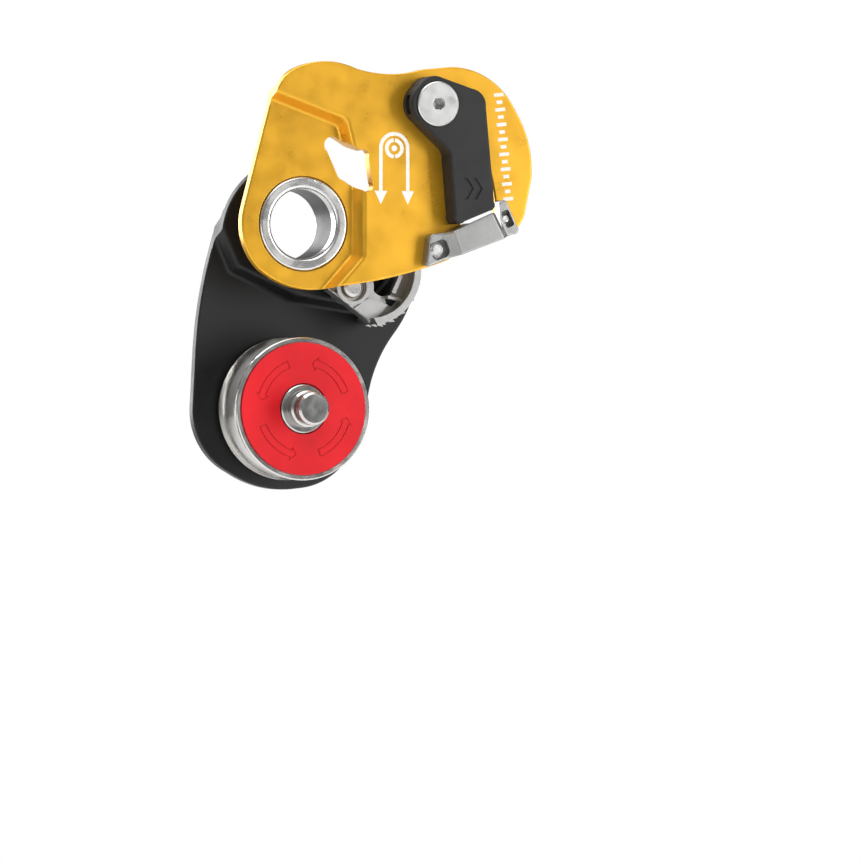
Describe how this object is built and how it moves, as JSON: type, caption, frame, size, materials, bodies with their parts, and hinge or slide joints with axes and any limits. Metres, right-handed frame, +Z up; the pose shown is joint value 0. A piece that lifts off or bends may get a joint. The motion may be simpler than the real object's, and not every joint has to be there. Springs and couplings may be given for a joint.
{
  "type": "rope pulley",
  "caption": "Progress-capture rope pulley: grooved sheave between two cheek plates, toothed cam, swing-open front cheek with latch, and an eye for a connector.",
  "frame": {"origin": "centre of the connector eye, midway through its depth", "axes": "+X to the right seen from the front, +Y away from the front into the pulley, +Z up; the sheave hangs below the eye"},
  "size_m": [0.0908, 0.0312, 0.1143],
  "materials": {
    "yellow_anodised": "satin anodised, golden yellow",
    "black_anodised": "satin anodised, black",
    "polished_aluminium": "machined and tumbled",
    "stainless": "turned stainless steel",
    "cast_stainless": "bead-blasted cast stainless steel",
    "bearing_steel": "ground bearing steel",
    "spring_steel": "spring wire",
    "black_plastic": "matt moulded nylon",
    "red_plastic": "satin moulded plastic",
    "black_rubber": "rubber seal",
    "bronze": "sintered bronze",
    "cage_plastic": "polyamide cage"
  },
  "bodies": {
    "rear_cheek": {"rear_side_plate": "black_anodised", "eye_bushing": "polished_aluminium", "eye_sleeve": "black_anodised", "eye_rear_ring": "polished_aluminium", "sheave_axle": "stainless", "axle_screw": "stainless", "axle_spacer": "stainless", "bearing_inner_race": "bearing_steel", "cam_pin": "stainless", "cam_pin_ring": "stainless", "cam_stop_pin": "stainless"},
    "front_cheek": {"front_side_plate": "yellow_anodised", "bridge_strap": "cast_stainless", "bridge_rivet_left": "stainless", "bridge_rivet_right": "stainless", "latch_screw": "stainless", "latch_bush": "stainless", "latch_nut": "stainless"},
    "latch": {"latch_cover": "black_plastic", "latch_plate": "cast_stainless", "latch_spring": "spring_steel"},
    "sheave": {"sheave": "polished_aluminium", "sheave_cap": "red_plastic", "bearing_outer_race": "bearing_steel", "bearing_front_seal": "black_rubber", "bearing_rear_seal": "black_rubber"},
    "ball_cage": {"bearing_balls": "bearing_steel", "bearing_cage": "cage_plastic"},
    "cam": {"cam": "cast_stainless", "cam_bush": "bronze", "cam_spring": "spring_steel"}
  },
  "joints": [
    {"name": "cheek_swing", "type": "hinge", "parent": "rear_cheek", "child": "front_cheek", "pos_m": [0, 0, 0], "axis": [0, 1, 0], "range_deg": [-30, 114]},
    {"name": "latch_swing", "type": "hinge", "parent": "front_cheek", "child": "latch", "pos_m": [0.0347, 0, 0.0322], "axis": [0, 1, 0], "range_deg": [-6, 0]},
    {"name": "sheave_spin", "type": "hinge", "parent": "rear_cheek", "child": "sheave", "pos_m": [0, 0, -0.0493], "axis": [0, 1, 0], "continuous": true},
    {"name": "cage_spin", "type": "hinge", "parent": "rear_cheek", "child": "ball_cage", "pos_m": [0, 0, -0.0493], "axis": [0, 1, 0], "continuous": true},
    {"name": "cam_swing", "type": "hinge", "parent": "rear_cheek", "child": "cam", "pos_m": [0.016, 0, -0.0166], "axis": [0, 1, 0], "range_deg": [0, 95]}
  ],
  "couplings": [
    {"joint": "cage_spin", "follows": "sheave_spin", "ratio": 0.5922}
  ]
}
